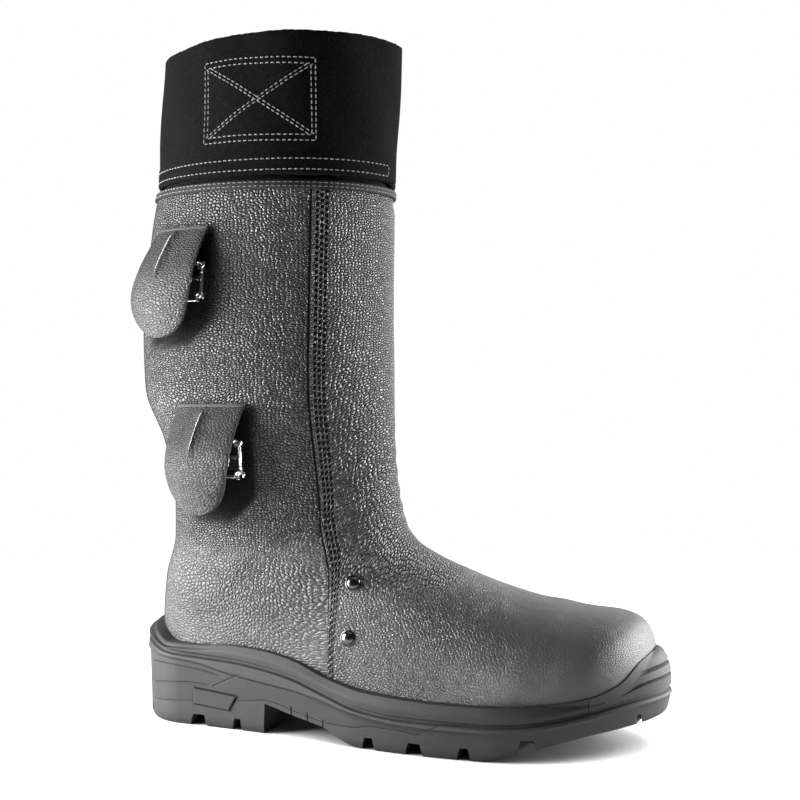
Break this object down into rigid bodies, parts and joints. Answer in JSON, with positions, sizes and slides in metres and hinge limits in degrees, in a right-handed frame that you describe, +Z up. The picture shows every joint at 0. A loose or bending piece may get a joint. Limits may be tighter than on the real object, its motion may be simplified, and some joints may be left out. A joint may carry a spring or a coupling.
{
  "type": "foundry boot",
  "caption": "Tall right-foot work boot with a lasted leather upper, suede wrap cuff, covered buckles and a lugged cup sole.",
  "frame": {"origin": "on the ground under the middle of the boot's box", "axes": "+X to the toe, +Y to the inner side of the foot, +Z up the shaft"},
  "size_m": [0.3026, 0.128, 0.3765],
  "materials": {
    "grain_leather": "pebbled, semi-gloss",
    "suede": "napped suede",
    "sole_rubber": "matte moulded",
    "tread_rubber": "matte moulded",
    "felt": "felt",
    "bright_steel": "polished wire",
    "dark_steel": "dark polished"
  },
  "bodies": {
    "root": {"upper": "grain_leather", "top_binding": "grain_leather", "flap_upper": "grain_leather", "flap_lower": "grain_leather", "buckle_strap_upper": "grain_leather", "buckle_strap_lower": "grain_leather", "cuff": "suede", "midsole": "sole_rubber", "outsole": "tread_rubber", "insole": "felt", "buckle_frame_upper": "bright_steel", "buckle_frame_lower": "bright_steel", "buckle_lever_upper": "bright_steel", "buckle_lever_lower": "bright_steel", "rivet_outer_upper": "dark_steel", "rivet_outer_lower": "dark_steel", "rivet_inner_upper": "dark_steel", "rivet_inner_lower": "dark_steel"}
  },
  "joints": []
}
